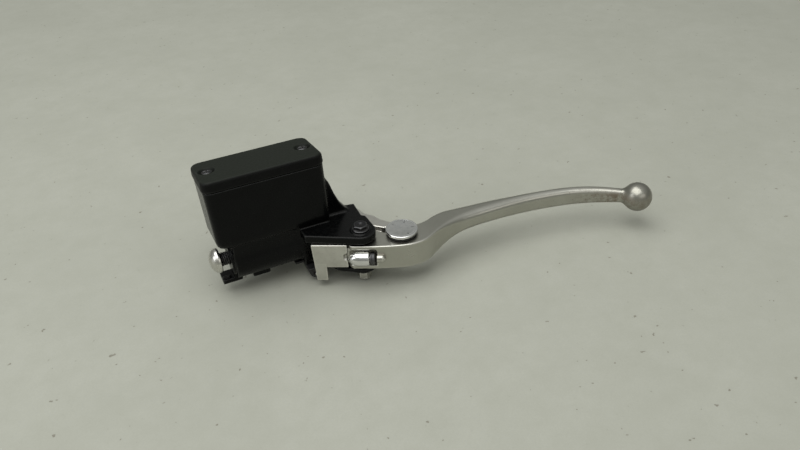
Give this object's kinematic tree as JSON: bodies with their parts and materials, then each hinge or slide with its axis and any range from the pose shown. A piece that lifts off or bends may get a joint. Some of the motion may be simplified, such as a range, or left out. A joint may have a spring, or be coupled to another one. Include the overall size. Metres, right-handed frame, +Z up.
{
  "type": "motorcycle brake master cylinder",
  "caption": "Handlebar brake master cylinder with a rectangular reservoir, a clamp for the handlebar, and a pivoting lever with a reach dial and ball end.",
  "frame": {"origin": "on the handlebar's axis, at the middle of the clamp's width", "axes": "+X along the handlebar and the hydraulic bore, towards the lever's ball end; +Y towards the rider; +Z up, along the lever's pivot"},
  "size_m": [0.2859, 0.1233, 0.0833],
  "materials": {
    "black_cast": "semi-gloss black powder coat on cast aluminium",
    "cap_paint": "satin greenish dark grey paint, slightly faded",
    "bright_steel": "zinc plated steel",
    "polished_steel": "bright plated steel",
    "black_steel": "black oxide on steel",
    "black_plastic": "moulded black plastic",
    "rubber": "black moulded rubber",
    "clear_glass": "clear window",
    "turned_aluminium": "turned and anodised aluminium",
    "satin_aluminium": "satin tumbled aluminium with light handling marks",
    "bronze": "plain bronze"
  },
  "bodies": {
    "master_cylinder": {"body": "black_cast", "reservoir_cap": "cap_paint", "cap_screw_left": "black_steel", "cap_screw_right": "black_steel", "diaphragm_plate": "black_plastic", "diaphragm": "rubber", "port_baffle": "bright_steel", "sight_glass": "clear_glass", "sight_glass_ring": "black_steel", "return_spring": "bright_steel", "piston_washer": "bright_steel", "circlip": "black_steel", "dust_boot": "rubber", "hose_bolt": "bright_steel", "pivot_bolt": "black_steel", "pivot_nut": "bright_steel", "pivot_bush": "bronze", "switch_housing": "black_plastic", "switch_spring": "bright_steel", "switch_screw": "bright_steel", "switch_terminal_front": "bronze", "switch_terminal_rear": "bronze", "clamp_cap": "black_cast", "clamp_bolt_upper": "black_steel", "clamp_bolt_lower": "black_steel", "clamp_washer_upper": "bright_steel", "clamp_washer_lower": "bright_steel"},
    "piston_assembly": {"piston": "turned_aluminium", "primary_cup": "rubber", "secondary_cup": "rubber"},
    "lever_knuckle": {"lever_holder": "satin_aluminium", "plunger_cap": "polished_steel", "adjuster_spring": "black_steel"},
    "lever": {"lever_blade": "satin_aluminium"},
    "dial": {"reach_dial": "polished_steel", "dial_ring": "rubber", "dial_cam": "bright_steel", "dial_clip": "black_steel"},
    "switch_button": {"switch_plunger": "bright_steel"}
  },
  "joints": [
    {"name": "lever_pull", "type": "hinge", "parent": "master_cylinder", "child": "lever_knuckle", "pos_m": [0.044, -0.064, 0], "axis": [0, 0, 1], "range_deg": [0, 22], "stiffness_Nm_per_rad": 0.8, "springref_deg": -5.73, "deforming": ["return_spring", "dust_boot", "switch_spring"]},
    {"name": "piston_slide", "type": "slide", "parent": "master_cylinder", "child": "piston_assembly", "axis": [-1, 0, 0], "range_m": [0, 0.0115], "deforming": ["return_spring", "dust_boot"]},
    {"name": "lever_reach", "type": "hinge", "parent": "lever_knuckle", "child": "lever", "pos_m": [0.044, -0.064, 0], "axis": [0, 0, 1], "range_deg": [0, 5], "deforming": ["adjuster_spring"]},
    {"name": "dial_turn", "type": "hinge", "parent": "lever", "child": "dial", "pos_m": [0.0685, -0.0708, 0.009], "axis": [0, 0, 1], "range_deg": [0, 271]},
    {"name": "switch_travel", "type": "slide", "parent": "master_cylinder", "child": "switch_button", "axis": [0, -1, 0], "range_m": [0, 0.0031], "deforming": ["switch_spring"]}
  ],
  "couplings": [
    {"joint": "piston_slide", "follows": "lever_pull", "m_per_rad": 0.0295},
    {"joint": "switch_travel", "follows": "lever_pull", "m_per_rad": 0.0078},
    {"joint": "dial_turn", "follows": "lever_reach", "ratio": 54}
  ]
}
